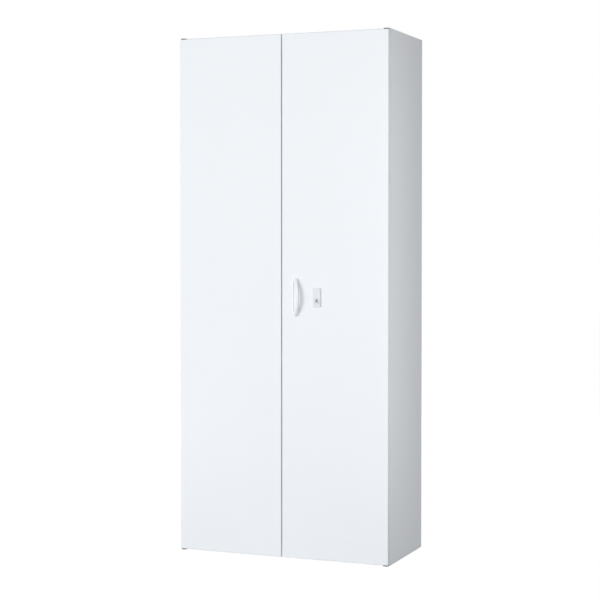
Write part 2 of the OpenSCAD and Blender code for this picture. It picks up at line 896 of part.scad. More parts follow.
module handle_base() {
    color("white") difference() {
        translate([0, y_door_face, 0]) rotate([90, 0, 0]) linear_extrude(plate_t) {
            rounded_area(
                handle_x - plate_in, handle_z - handle_len / 2,
                handle_x + plate_out, handle_z + handle_len / 2, foot_post_r - 1
            );
        }
        translate([0, y_door_face - dish_floor, 0]) rotate([90, 0, 0]) linear_extrude(plate_t) {
            rounded_area(
                handle_x - plate_in + dish_rim, handle_z - dish_half,
                handle_x + plate_out - dish_rim, handle_z + dish_half, foot_post_r - 1 - dish_rim
            );
        }
        for (z = handle_screw_zs()) {
            y_cylinder(handle_x, y_door_face - plate_t - 1, y_door_face + 1, z, handle_screw_r + fit_clear);
        }
    }
}

module handle_bow() {
    y0 = y_door_face - plate_t;
    color("white") difference() {
        union() {
            translate([handle_x, y_door_face - bow_base, handle_z]) rotate([0, 0, handle_lean - 90]) {
                translate([bow_sag - bow_big_r, 0, 0]) rotate([90, 0, 0]) rotate([0, 0, -bow_angle]) {
                    rotate_extrude(angle = 2 * bow_angle, $fn = 160) translate([bow_big_r, 0]) {
                        rotate(handle_lean + bow_turn - 90) {
                            rounded_area(-bow_w / 2, -bow_t / 2, bow_w / 2, bow_t / 2, bow_r);
                        }
                    }
                }
            }
            for (z = handle_screw_zs()) {
                y_cylinder(handle_x, y_door_face - bow_base, y0, z, foot_post_r);
                translate([handle_x, y_door_face - bow_base, z]) sphere(foot_post_r);
            }
        }
        for (z = handle_screw_zs()) {
            y_cylinder(handle_x, y0 - bow_r - 1, y0 + 1, z, handle_screw_r + fit_clear);
        }
        block(
            [handle_x - handle_reach, y0, handle_z - handle_len],
            [handle_x + handle_reach, y0 + handle_reach, handle_z + handle_len]
        );
    }
}

module handle_screws() {
    len = y_liner_back - y_door_face + plate_t + bow_r;
    color("silver") for (z = handle_screw_zs()) y_screw(handle_x, y_liner_back, z, handle_screw_r, len);
}

// Lock

module lock_plate() {
    z0 = lock_z - lock_plate_low;
    color("white") difference() {
        translate([0, y_door_face, 0]) rotate([90, 0, 0]) linear_extrude(lock_plate_t) {
            rounded_area(
                lock_x - lock_plate_w / 2, z0,
                lock_x + lock_plate_w / 2, z0 + lock_plate_h, lock_plate_r
            );
        }
        y_cylinder(lock_x, y_door_face - lock_plate_t - 1, y_door_face + 1, lock_z, barrel_r + fit_clear);
    }
}

module lock_barrel() {
    face = y_door_face - lock_plate_t;
    color("silver") difference() {
        union() {
            y_cylinder(lock_x, face, y_liner_back + 2, lock_z, barrel_r);
            y_cylinder(lock_x, face - bezel_t, face, lock_z, bezel_r);
        }
        y_cylinder(lock_x, face - bezel_t - 1, y_liner_back + 3, lock_z, plug_r + run_clear);
    }
}

// Hexagonal nut that clamps the barrel in the skin
module lock_nut() {
    y0 = y_door_face + sheet_t;
    color("silver") difference() {
        translate([lock_x, y0 + lock_nut_t, lock_z]) rotate([90, 0, 0]) {
            cylinder(h = lock_nut_t, r = lock_nut_af / 2 / cos(30), $fn = 6);
        }
        y_cylinder(lock_x, y0 - 1, y0 + lock_nut_t + 1, lock_z, barrel_r + fit_clear);
    }
}

module key_plug() {
    face = y_door_face - lock_plate_t - bezel_t;
    color("silver") difference() {
        y_cylinder(lock_x, face + plug_sunk, y_cam, lock_z, plug_r);
        block(
            [lock_x - key_slot_w / 2, face - 1, lock_z - key_slot_h / 2],
            [lock_x + key_slot_w / 2, face + key_slot_d, lock_z + key_slot_h / 2]
        );
    }
}

// Cam: a disc with three pins, which drive the rods and the bolt as it turns
module lock_cam() {
    disc_r = cam_pin_circle + cam_pin_r + cam_rim;
    y1 = y_cam + cam_t;
    color("silver") {
        y_cylinder(lock_x, y_cam, y1, lock_z, disc_r);
        cam_pin(-lock_turn / 2, y1, y_rod + bar_t + layer_gap / 2);
        cam_pin(180 - lock_turn / 2, y1, y_rod + bar_t + layer_gap / 2);
        cam_pin(lock_turn / 2, y1, y_bolt + bar_t + layer_gap / 2);
    }
}

module cam_pin(angle, y0, y1) {
    x = lock_x + cam_pin_circle * cos(angle);
    z = lock_z + cam_pin_circle * sin(angle);
    y_cylinder(x, y0 - eps, y1, z, cam_pin_r);
}

// Bar with a fork at its foot, drawn for the upper rod: the fork opens towards the cam's axis
module forked_bar(tip, pin_side) {
    block(
        [bar_off, 0, -pin_off - prong_far],
        [bar_off + bar_w, bar_t, tip]
    );
    for (s = [-1, 1]) {
        block(
            [pin_side, 0, -pin_off + (s > 0 ? fork_half : -prong_far)],
            [bar_off + eps, bar_t, -pin_off + (s > 0 ? prong_far : -fork_half)]
        );
    }
}

module top_rod() {
    color("silver") translate([lock_x, y_rod, lock_z]) forked_bar(top_rod_tip - lock_z, fork_tip);
}

module bottom_rod() {
    color("silver") translate([lock_x, y_rod, lock_z]) rotate([0, 180, 0]) {
        forked_bar(lock_z - low_rod_tip, fork_tip);
    }
}

module centre_bolt() {
    color("silver") translate([lock_x, y_bolt, lock_z]) rotate([0, -90, 0]) {
        forked_bar(lock_x - bolt_rest, fork_tip);
    }
}

// Guides on the liner: a tunnel round each bar. Their backs are cut away where the bar lies.

module rod_guide(x, z) {
    half_w = bar_w / 2 + guide_clear;
    difference() {
        block(
            [x - half_w - guide_wall, y_liner_back, z - guide_len / 2],
            [x + half_w + guide_wall, y_rod + bar_t + guide_clear + guide_wall, z + guide_len / 2]
        );
        block(
            [x - half_w, y_rod - guide_clear, z - guide_len],
            [x + half_w, y_rod + bar_t + guide_clear, z + guide_len]
        );
    }
}

module bolt_guide(x) {
    half_w = bar_w / 2 + guide_clear;
    difference() {
        block(
            [x - guide_len / 2, y_liner_back, bolt_z - half_w - guide_wall],
            [x + guide_len / 2, y_bolt + bar_t + guide_clear + guide_wall, bolt_z + half_w + guide_wall]
        );
        block(
            [x - guide_len, y_bolt - guide_clear, bolt_z - half_w],
            [x + guide_len, y_bolt + bar_t + guide_clear, bolt_z + half_w]
        );
    }
}

cover_half = bar_off + bar_w + cover_gap;
guide_step = cover_half + 5 * guide_len;

module rod_guides() {
    color("darkgray") {
        rod_guide(top_rod_x, z_header - guide_end_gap);
        rod_guide(top_rod_x, lock_z + guide_step);
        rod_guide(low_rod_x, lock_z - guide_step);
        rod_guide(low_rod_x, base_h + guide_end_gap);
        bolt_guide(x_free + door_lip + guide_len / 2);
    }
}

// Cover over the cam and the forks, open where the bars come out
module lock_cover() {
    x = [lock_x - cover_half, lock_x + cover_half];
    z = [lock_z - cover_half, lock_z + cover_half];
    half_w = bar_w / 2 + guide_clear;
    rod_slot_y = [y_rod - guide_clear, y_rod + bar_t + guide_clear];
    bolt_slot_y = [y_bolt - guide_clear, y_bolt + bar_t + guide_clear];
    color("gray") difference() {
        union() {
            block([x[0], y_liner_back, z[0]], [x[1], y_cover + cover_t, z[1]]);
            for (ear_z = [z[0] - cover_ear, z[1]]) {
                block(
                    [lock_x - cover_ear, y_liner_back, ear_z],
                    [lock_x + cover_ear, y_liner_back + cover_t, ear_z + cover_ear]
                );
            }
        }
        block([x[0] + cover_t, y_liner_back - 1, z[0] + cover_t], [x[1] - cover_t, y_cover, z[1] - cover_t]);
        block([top_rod_x - half_w, rod_slot_y[0], lock_z], [top_rod_x + half_w, rod_slot_y[1], z[1] + 1]);
        block([low_rod_x - half_w, rod_slot_y[0], z[0] - 1], [low_rod_x + half_w, rod_slot_y[1], lock_z]);
        block([x[0] - 1, bolt_slot_y[0], bolt_z - half_w], [lock_x, bolt_slot_y[1], bolt_z + half_w]);
        for (screw_z = cover_screw_zs()) {
            y_cylinder(lock_x, y_liner_back - 1, y_liner_back + cover_t + 1, screw_z, small_screw_r);
        }
    }
}

function cover_screw_zs() = pair(lock_z, cover_half + cover_ear / 2);

module lock_cover_screws() {
    y = y_liner_back + cover_t;
    color("silver") for (z = cover_screw_zs()) y_screw(lock_x, y, z, small_screw_r - fit_clear, cover_t);
}

// Keeper on the left door: a bridge, which the centre bolt enters. Drawn as on the right door.

keeper_half = bar_w / 2 + strike_clear + guide_wall;

function keeper_screw_places() =
    [for (z = pair(bolt_z, keeper_half + small_head_r)) [keeper_x + keeper_w / 2, z]];

module keeper_screw_holes() {
    for (p = keeper_screw_places()) {
        y_cylinder(p.x, y_liner_back - sheet_t - 1, y_door_back + 1, p.y, small_screw_r);
    }
}

module left_keeper() {
    ears = keeper_half + 2 * small_head_r;
    y_inside = y_bolt + bar_t + strike_clear;
    x = [keeper_x, keeper_x + keeper_w];
    color("silver") mirror([1, 0, 0]) difference() {
        union() {
            block(
                [x[0], y_door_back, bolt_z - keeper_half],
                [x[1], y_inside + guide_wall, bolt_z + keeper_half]
            );
            block([x[0], y_door_back, bolt_z - ears], [x[1], y_door_back + guide_wall, bolt_z + ears]);
        }
        block(
            [x[0] - 1, y_door_back - 1, bolt_z - keeper_half + guide_wall],
            [x[1] + 1, y_inside, bolt_z + keeper_half - guide_wall]
        );
        for (p = keeper_screw_places()) {
            y_cylinder(p.x, y_door_back - 1, y_door_back + guide_wall + 1, p.y, small_screw_r);
        }
    }
}

module left_keeper_screws() {
    y = y_door_back + guide_wall;
    color("silver") mirror([1, 0, 0]) for (p = keeper_screw_places()) {
        y_screw(p.x, y, p.y, small_screw_r - fit_clear, guide_wall + 2 * sheet_t);
    }
}

// Levelling feet in brackets under the floor of the bottom compartment

foot_ys = [y_front + foot_front, y_panel - foot_rear];

function foot_places() = [for (s = [-1, 1], y = foot_ys) [s * (x_out - foot_in_x), y]];

module foot_brackets() {
    half = foot_bracket_w / 2;
    color("lightgray") for (p = foot_places()) translate([p.x, p.y, 0]) difference() {
        union() {
            block([-half, -foot_r, foot_plate_z], [half, foot_r, foot_plate_z + foot_bracket_t]);
            for (x = [-half, half - foot_bracket_t]) {
                block([x, -foot_r, foot_plate_z], [x + foot_bracket_t, foot_r, base_h - sheet_t]);
            }
        }
        translate([0, 0, foot_plate_z - 1]) cylinder(h = foot_bracket_t + 2, r = stem_r + guide_clear);
    }
}

module foot_nuts() {
    z = foot_plate_z + foot_bracket_t;
    color("silver") for (p = foot_places()) translate([p.x, p.y, z]) difference() {
        cylinder(h = foot_nut_h, r = foot_nut_af / 2 / cos(30), $fn = 6);
        translate([0, 0, -1]) cylinder(h = foot_nut_h + 2, r = stem_r + run_clear);
    }
}

module levelling_foot(i) {
    p = foot_places()[i];
    top = base_h - sheet_t - stem_gap;
    color("dimgray") translate([p.x, p.y, 0]) difference() {
        union() {
            cylinder(h = foot_pad_h - foot_chamfer, r = foot_r);
            translate([0, 0, foot_pad_h - foot_chamfer]) {
                cylinder(h = foot_chamfer, r1 = foot_r, r2 = foot_r - foot_chamfer);
            }
            cylinder(h = top, r = stem_r);
        }
        block([-stem_r - 1, -stem_slot_w / 2, top - stem_slot_d], [stem_r + 1, stem_slot_w / 2, top + 1]);
    }
}

module foot_front_left() { levelling_foot(0); }
module foot_rear_left() { levelling_foot(1); }
module foot_front_right() { levelling_foot(2); }
module foot_rear_right() { levelling_foot(3); }

module foot_hole_plugs() {
    color("whitesmoke") for (p = foot_places()) translate([p.x, p.y, base_h]) {
        cylinder(h = plug_t, r = plug_hole_r + plug_rim);
        translate([0, 0, -sheet_t]) cylinder(h = sheet_t + eps, r = plug_hole_r - fit_clear);
    }
}

left_side_panel();
right_side_panel();
top_panel();
bottom_panel();
back_panel();
front_header();
upright_front_left();
upright_front_right();
upright_rear_left();
upright_rear_right();
shelf_1();
shelf_2();
shelf_3();
shelf_4();
shelf_5();
shelf_clips();
hinge_bracket_top_left();
hinge_bracket_top_right();
hinge_bracket_bottom_left();
hinge_bracket_bottom_right();
hinge_pins();
magnet_catches();
door_bumpers();
strike_plates();
strike_screws();
foot_brackets();
foot_nuts();
foot_hole_plugs();
foot_front_left();
foot_front_right();
foot_rear_left();
foot_rear_right();
left_door_skin();
left_door_liner();
left_door_stiffener();
left_door_gussets();
left_door_bushes();
left_catch_plates();
left_keeper();
left_keeper_screws();
right_door_skin();
right_door_liner();
right_door_stiffener();
right_door_gussets();
right_door_bushes();
right_catch_plates();
rod_guides();
handle_base();
handle_bow();
handle_screws();
lock_plate();
lock_barrel();
lock_nut();
lock_cover();
lock_cover_screws();
key_plug();
lock_cam();
top_rod();
bottom_rod();
centre_bolt();
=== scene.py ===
# Looks of the steel storage cabinet: its finishes, folded sheet, handle, lock and small fittings.
import json
import math

import bmesh
import bpy
from mathutils import Matrix, Vector

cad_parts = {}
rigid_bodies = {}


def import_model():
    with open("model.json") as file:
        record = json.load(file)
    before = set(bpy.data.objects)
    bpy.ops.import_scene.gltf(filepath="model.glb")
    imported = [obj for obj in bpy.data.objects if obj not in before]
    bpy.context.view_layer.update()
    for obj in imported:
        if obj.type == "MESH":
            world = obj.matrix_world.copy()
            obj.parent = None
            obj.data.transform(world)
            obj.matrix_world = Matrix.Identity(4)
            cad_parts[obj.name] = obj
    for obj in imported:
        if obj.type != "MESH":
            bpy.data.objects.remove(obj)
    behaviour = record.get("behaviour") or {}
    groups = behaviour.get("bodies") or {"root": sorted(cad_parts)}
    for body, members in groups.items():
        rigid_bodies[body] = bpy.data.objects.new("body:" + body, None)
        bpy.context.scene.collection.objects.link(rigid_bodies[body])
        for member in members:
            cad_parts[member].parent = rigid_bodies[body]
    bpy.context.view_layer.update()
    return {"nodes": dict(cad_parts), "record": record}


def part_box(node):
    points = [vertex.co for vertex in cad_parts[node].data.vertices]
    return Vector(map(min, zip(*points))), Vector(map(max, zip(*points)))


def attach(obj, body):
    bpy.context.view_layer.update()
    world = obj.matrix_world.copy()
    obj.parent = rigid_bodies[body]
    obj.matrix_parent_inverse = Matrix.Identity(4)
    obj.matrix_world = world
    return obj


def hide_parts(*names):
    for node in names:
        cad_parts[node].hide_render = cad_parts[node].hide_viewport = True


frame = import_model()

nodes = frame["nodes"]

MM = 0.001
WELD = 0.001 * MM
SHEET = 1 * MM
BEND = 2 * MM
DOOR_LIP = 12 * MM
DOOR_END_LIP = 35 * MM
SHELF_LIP = 15 * MM
BUSH_HOLE_R = 5.1 * MM
BARREL_HOLE_R = 10.1 * MM
SCREW_HOLE_R = 2.6 * MM

# Directions that a piece's own upward axis can point in
UP = Matrix.Identity(4)
DOWN = Matrix.Rotation(math.pi, 4, "X")
TO_FRONT = Matrix.Rotation(math.pi / 2, 4, "X")
TO_BACK = Matrix.Rotation(-math.pi / 2, 4, "X")


# Shader values

class Shade:
    """A value, colour or vector in a material's nodes. Arithmetic on it adds Math nodes."""

    def __init__(self, tree, socket=None):
        self.tree = tree
        self.socket = socket

    def node(self, kind, settings=None, inputs=None, out=0):
        """Adds a node: its settings first, then the values or links of its sockets."""
        made = self.tree.nodes.new(kind)
        for name, value in (settings or {}).items():
            setattr(made, name, value)
        for key, value in (inputs or {}).items():
            if isinstance(value, Shade):
                self.tree.links.new(value.socket, made.inputs[key])
            else:
                made.inputs[key].default_value = value
        return Shade(self.tree, made.outputs[out] if made.outputs else None)

    def maths(self, operation, *terms):
        return self.node("ShaderNodeMath", {"operation": operation}, dict(enumerate(terms)))

    def __add__(self, other):
        return self.maths("ADD", self, other)

    def __mul__(self, other):
        return self.maths("MULTIPLY", self, other)

    __radd__ = __add__
    __rmul__ = __mul__


def blend_colour(shade, factor, first, second):
    """Mixes two colours by a factor."""
    inputs = {0: factor, 6: first, 7: second}
    return shade.node("ShaderNodeMix", {"data_type": "RGBA"}, inputs, out=2)


def noise(shade, place, scale, detail, rough=0.5):
    """Noise from 0 to 1, with features about 1 / scale metres across."""
    inputs = {"Vector": place, "Scale": scale, "Detail": detail, "Roughness": rough}
    return shade.node("ShaderNodeTexNoise", None, inputs)


def stretched(shade, place, scales):
    """The place with each axis scaled, for a grain that runs one way."""
    return shade.node("ShaderNodeMapping", None, {"Vector": place, "Scale": scales})


def bump(shade, height, distance, normal=None):
    """Normal bent by a height from 0 to 1, which stands for a distance in metres."""
    inputs = {"Height": height, "Distance": distance, "Strength": 1.0}
    if normal:
        inputs["Normal"] = normal
    return shade.node("ShaderNodeBump", None, inputs)


def srgb(red, green, blue):
    """A colour given in the usual 0 to 255 steps, as the shader wants it."""
    def linear(step):
        level = step / 255
        return level / 12.92 if level <= 0.04045 else ((level + 0.055) / 1.055) ** 2.4

    return (linear(red), linear(green), linear(blue), 1.0)


def finish(name, build, **constants):
    """A material whose shader sockets are set by build(shade, place) and by constants."""
    material = bpy.data.materials.new(name)
    material.use_nodes = True
    tree = material.node_tree
    shader = tree.nodes["Principled BSDF"]
    start = Shade(tree)
    place = start.node("ShaderNodeTexCoord", out="Object")
    for key, value in build(start, place).items():
        tree.links.new(value.socket, shader.inputs[key])
    for key, value in constants.items():
        shader.inputs[key.replace("_", " ")].default_value = value
    return material


# Finishes

def powder_coat(name, light, dark, gloss):
    """Stoved powder coat: fine orange peel, with a faint cloudiness in tone and gloss."""
    def build(shade, place):
        cloud = noise(shade, place, scale=2.3, detail=3.0)
        speck = noise(shade, place, scale=420.0, detail=2.0)
        peel = noise(shade, place, scale=760.0, detail=1.5)
        swell = noise(shade, place, scale=5.0, detail=1.0)
        wave = bump(shade, swell, distance=0.6 * MM)
        return {
            "Base Color": blend_colour(shade, cloud * 0.7 + speck * 0.3, dark, light),
            "Roughness": gloss + cloud * 0.06 + speck * 0.05,
            "Normal": bump(shade, peel, distance=0.03 * MM, normal=wave),
        }

    return finish(name, build, Specular_IOR_Level=0.5)


def zinc_plate(name, light, dark, rough):
    """Zinc-plated steel: soft spangle, rolling lines and a slightly uneven shine."""
    def build(shade, place):
        cells = shade.node("ShaderNodeTexVoronoi", None, {"Vector": place, "Scale": 160.0}, out="Color")
        level = shade.node("ShaderNodeSeparateColor", None, {"Color": cells})
        lines = noise(shade, stretched(shade, place, (900.0, 900.0, 14.0)), scale=1.0, detail=2.0)
        mottle = noise(shade, place, scale=30.0, detail=3.0)
        return {
            "Base Color": blend_colour(shade, level * 0.5 + mottle * 0.5, dark, light),
            "Roughness": rough + level * 0.10 + lines * 0.08,
            "Normal": bump(shade, lines, distance=0.012 * MM),
        }

    return finish(name, build, Metallic=1.0)


def bright_metal(name, light, dark, rough):
    """Nickel-plated die casting: satin, with faint mottling and fine scratches."""
    def build(shade, place):
        scratch = noise(shade, stretched(shade, place, (300.0, 300.0, 2600.0)), scale=1.0, detail=3.0)
        mottle = noise(shade, place, scale=210.0, detail=2.0)
        return {
            "Base Color": blend_colour(shade, mottle, dark, light),
            "Roughness": rough + scratch * 0.10 + mottle * 0.06,
            "Normal": bump(shade, scratch, distance=0.006 * MM),
        }

    return finish(name, build, Metallic=1.0)


def moulded(name, light, dark, rough, grain):
    """Moulded plastic or rubber with a fine spark-eroded grain."""
    def build(shade, place):
        texture = noise(shade, place, scale=grain, detail=3.0, rough=0.6)
        cloud = noise(shade, place, scale=18.0, detail=2.0)
        return {
            "Base Color": blend_colour(shade, cloud * 0.6 + texture * 0.4, dark, light),
            "Roughness": rough + texture * 0.12,
            "Normal": bump(shade, texture, distance=0.02 * MM),
        }

    return finish(name, build, Specular_IOR_Level=0.4)


FINISHES = {
    "powder_white": powder_coat("powder_white", srgb(242, 246, 250), srgb(236, 240, 244), 0.36),
    "hinge_grey": powder_coat("hinge_grey", srgb(118, 121, 125), srgb(102, 105, 109), 0.44),
    "zinc": zinc_plate("zinc", srgb(206, 209, 212), srgb(172, 176, 180), 0.30),
    "lock_metal": bright_metal("lock_metal", srgb(180, 182, 184), srgb(160, 162, 165), 0.34),
    # Darker copy of lock_metal for the key plug: partly the plug's duller plating, partly painted shade of
    # the keyhole
    "plug_metal_painted_shade": bright_metal("plug_metal_painted_shade", srgb(136, 138, 141), srgb(114, 116, 119), 0.32),
    "handle_white": moulded("handle_white", srgb(247, 249, 251), srgb(242, 245, 248), 0.26, 900.0),
    "lock_white": moulded("lock_white", srgb(232, 235, 238), srgb(226, 229, 233), 0.34, 800.0),
    "grey_plastic": moulded("grey_plastic", srgb(150, 154, 158), srgb(136, 140, 144), 0.42, 700.0),
    "black_plastic": moulded("black_plastic", srgb(46, 47, 49), srgb(34, 35, 37), 0.46, 620.0),
    "rubber_grey": moulded("rubber_grey", srgb(120, 122, 124), srgb(100, 102, 104), 0.62, 480.0),
}

slot_of = {part["node"]: part["material_slot"] for part in frame["record"]["subparts"]}
for name, node in nodes.items():
    node.data.materials.clear()
    node.data.materials.append(FINISHES[slot_of[name]])
    node.data.shade_smooth()
    node.data.set_sharp_from_angle(angle=math.radians(30))

# Small blocks and bars whose edges are broken
for name in ("lock_cover", "rod_guides", "left_keeper", "centre_bolt", "top_rod", "bottom_rod"):
    soft = nodes[name].modifiers.new("broken_edges", "BEVEL")
    soft.width = 0.5 * MM
    soft.segments = 2
    soft.limit_method = "ANGLE"
    soft.angle_limit = math.radians(50)


# Mesh tools

def loft(mesh, rings, place=UP, caps=(True, True)):
    """Skins a row of rings, each a list of the same number of points."""
    loops = [[mesh.verts.new(place @ Vector(point)) for point in ring] for ring in rings]
    count = len(loops[0])
    for low, high in zip(loops, loops[1:]):
        for i in range(count):
            j = (i + 1) % count
            mesh.faces.new((low[i], low[j], high[j], high[i]))
    if caps[0]:
        mesh.faces.new(loops[0][::-1])
    if caps[1]:
        mesh.faces.new(loops[-1])


def turned(profile, count=48):
    """Rings of a turned shape, from (radius, height) pairs up its axis."""
    turns = [2 * math.pi * i / count for i in range(count)]
    return [[(r * math.cos(a), r * math.sin(a), h) for a in turns] for r, h in profile]


def quarter(r, steps=4):
    """(sine, cosine) pairs along a quarter of a circle of radius r."""
    angles = [math.pi / 2 * i / steps for i in range(steps + 1)]
    return [(r * math.sin(a), r * math.cos(a)) for a in angles]


def piece(mesh, name, body, slot, hides=(), sharp=30, look=None):
    """Makes a piece that rides on a body and hides CAD nodes; look is a finish other than its slot's."""
    bmesh.ops.recalc_face_normals(mesh, faces=mesh.faces)
    data = bpy.data.meshes.new(name)
    mesh.to_mesh(data)
    mesh.free()
    data.shade_smooth()
    data.set_sharp_from_angle(angle=math.radians(sharp))
    made = bpy.data.objects.new(name, data)
    bpy.context.scene.collection.objects.link(made)
    data.materials.append(FINISHES[look or slot])
    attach(made, body)
    if hides:
        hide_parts(*hides)
    return made


def at(x, y, z, turn=UP):
    return Matrix.Translation((x, y, z)) @ turn


def middle_of(name):
    low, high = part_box(name)
    return (low + high) / 2


def solid_boxes(name):
    """Lowest and highest corners of each separate solid in a CAD node, from left to right and up."""
    mesh = bmesh.new()
    mesh.from_mesh(nodes[name].data)
    bmesh.ops.remove_doubles(mesh, verts=mesh.verts, dist=WELD)
    waiting = set(mesh.verts)
    boxes = []
    while waiting:
        edge = [waiting.pop()]
        points = []
        while edge:
            vert = edge.pop()
            points.append(vert.co.copy())
            near = {link.other_vert(vert) for link in vert.link_edges} & waiting
            waiting -= near
            edge.extend(near)
        low = Vector([min(p[i] for p in points) for i in range(3)])
        high = Vector([max(p[i] for p in points) for i in range(3)])
        boxes.append((low, high))
    mesh.free()
    return sorted(boxes, key=lambda box: (round(box[0].x, 4), round(box[0].z, 4)))


def applied(made):
    """Keeps a piece's mesh as its modifiers leave it."""
    ready = made.evaluated_get(bpy.context.evaluated_depsgraph_get())
    old = made.data
    made.data = bpy.data.meshes.new_from_object(ready)
    made.modifiers.clear()
    bpy.data.meshes.remove(old)


def cut(made, tool_mesh):
    """Takes a tool's shape out of a piece."""
    bmesh.ops.recalc_face_normals(tool_mesh, faces=tool_mesh.faces)
    data = bpy.data.meshes.new("tool")
    tool_mesh.to_mesh(data)
    tool_mesh.free()
    tool = bpy.data.objects.new("tool", data)
    bpy.context.scene.collection.objects.link(tool)
    step = made.modifiers.new("cut", "BOOLEAN")
    step.operation = "DIFFERENCE"
    step.solver = "EXACT"
    step.object = tool
    applied(made)
    bpy.data.objects.remove(tool)
    bpy.data.meshes.remove(data)


# Folded sheet

def pan_rings(length, width, depth, lips):
    """Outside of a folded pan whose face is at the top: its rings from the face to the lips' edges."""
    def ring(inset_x, inset_y, drop):
        x = length / 2 - inset_x
        y = width / 2 - inset_y
        return [(-x, -y, -drop), (x, -y, -drop), (x, y, -drop), (-x, y, -drop)]

    arc = quarter(BEND)
    face = BEND * 1.25
    rings = [ring(face, face, 0)]
    rings += [ring(BEND - s, BEND - s, BEND - c) for s, c in arc]
    rings += [ring(BEND - c, BEND - c, depth - BEND + s) for s, c in arc]
    rings.append(ring(lips[0], lips[1], depth))
    return rings


def folded_pan(name, place, length, width, depth, lips, body, hides):
    """Folded pan of sheet, with rounded bends and a real thickness."""
    mesh = bmesh.new()
    loft(mesh, pan_rings(length, width, depth, lips), place, caps=(True, False))
    made = piece(mesh, name, body, "powder_white", hides)
    thick = made.modifiers.new("sheet", "SOLIDIFY")
    thick.thickness = SHEET
    thick.offset = -1
    return made


def hole(mesh, place, r, reach):
    """Tool for a round hole, reaching both ways from its place."""
    loft(mesh, turned([(r, -reach), (r, reach)]), place)


def doors():
    """Both doors' pans, with the holes for the bushes, the lock's barrel and the handle's screws."""
    for side in ("left", "right"):
        name = side + "_door_skin"
        low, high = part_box(name)
        middle = (low + high) / 2
        size = high - low
        place = at(middle.x, low.y, middle.z, TO_FRONT)
        lips = (DOOR_LIP, DOOR_END_LIP)
        pan = folded_pan(side + "_door_pan", place, size.x, size.z, size.y, lips, side + "_door", [name])
        through = 2 * MM
        holes = bmesh.new()
        for bush_low, bush_high in solid_boxes(side + "_door_bushes"):
            x, y, z = (bush_low + bush_high) / 2
            hole(holes, at(x, y, low.z if z < middle.z else high.z), BUSH_HOLE_R, through)
        if side == "right":
            x, y, z = middle_of("lock_barrel")
            hole(holes, at(x, low.y, z, TO_FRONT), BARREL_HOLE_R, through)
            for screw_low, screw_high in solid_boxes("handle_screws"):
                x, y, z = (screw_low + screw_high) / 2
                hole(holes, at(x, low.y, z, TO_FRONT), SCREW_HOLE_R, through)
        cut(pan, holes)


def shelves():
    """The five shelves, as trays of folded sheet."""
    for i in range(1, 6):
        name = "shelf_%d" % i
        low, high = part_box(name)
        middle = (low + high) / 2
        size = high - low
        place = at(middle.x, middle.y, high.z)
        folded_pan("shelf_tray_%d" % i, place, size.x, size.y, size.z, (BEND, SHELF_LIP), "root", [name])


# Handle

BOW_LEAN = math.radians(42)
BOW_TURN = math.radians(6)
BOW_WIDTH = 12 * MM
BOW_DEPTH = 11 * MM
BOW_CORNER = 3 * MM
POST_R = 7 * MM
DISH_RIM = 2 * MM
DISH_FLOOR = 1.2 * MM


def rounded_outline(width, height, r, steps=4):
    """Points round a rectangle with rounded corners, centred on its middle."""
    points = []
    for k in range(4):
        a = math.pi / 2 * k
        corner_x = (width / 2 - r) * (1 if k in (0, 3) else -1)
        corner_y = (height / 2 - r) * (1 if k in (0, 1) else -1)
        for i in range(steps + 1):
            b = a + math.pi / 2 * i / steps
            points.append((corner_x + r * math.cos(b), corner_y + r * math.sin(b)))
    return points


def handle():
    """Bow handle: a bar bent to an arc that leans away from the door, on two domed posts."""
    low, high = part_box("handle_bow")
    base_low, base_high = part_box("handle_base")
    plate_face = base_low.y
    half = (high.z - low.z) / 2 - POST_R
    middle_z = (high.z + low.z) / 2
    foot_x = low.x + POST_R
    foot_y = plate_face - BOW_CORNER
    reach = (BOW_DEPTH / 2 - BOW_CORNER) * math.cos(BOW_TURN)
    reach += (BOW_WIDTH / 2 - BOW_CORNER) * math.sin(BOW_TURN) + BOW_CORNER
    sag = (foot_y - reach - low.y) / math.cos(BOW_LEAN)
    radius = (half * half + sag * sag) / (2 * sag)
    spread = math.asin(half / radius)
    out = Vector((math.sin(BOW_LEAN), -math.cos(BOW_LEAN), 0))
    side = Vector((math.cos(BOW_LEAN), math.sin(BOW_LEAN), 0))
    turn = Matrix.Rotation(math.pi / 2 - BOW_LEAN - BOW_TURN, 2)
    outline = [turn @ Vector(point) for point in rounded_outline(BOW_WIDTH, BOW_DEPTH, BOW_CORNER)]
    steps = 56
    rings = []
    for i in range(steps + 1):
        a = spread * (2 * i / steps - 1)
        away = out * math.cos(a) + Vector((0, 0, math.sin(a)))
        centre = Vector((foot_x, foot_y, middle_z)) + out * (sag - radius) + away * radius
        rings.append([centre + away * u + side * v for u, v in outline])
    mesh = bmesh.new()
    loft(mesh, rings)
    # A post flares out where it stands on the plate and ends in a dome
    dome = [(POST_R * 1.12, 0), (POST_R * 1.03, 0.6 * MM), (POST_R, 1.6 * MM)]
    dome += [(c, BOW_CORNER + s) for s, c in quarter(POST_R * 0.98, 8)[:-1]]
    for z in (middle_z - half, middle_z + half):
        loft(mesh, turned(dome, 40), at(foot_x, plate_face, z, TO_FRONT))
    bow = piece(mesh, "pull_bow", "right_door", "handle_white", ["handle_bow"], sharp=60)
    grain = bow.modifiers.new("cast", "REMESH")
    grain.mode = "VOXEL"
    grain.voxel_size = 0.7 * MM
    grain.use_smooth_shade = True
    even = bow.modifiers.new("even", "SMOOTH")
    even.iterations = 6
    even.factor = 0.5
    base_plate(base_low, base_high, half)


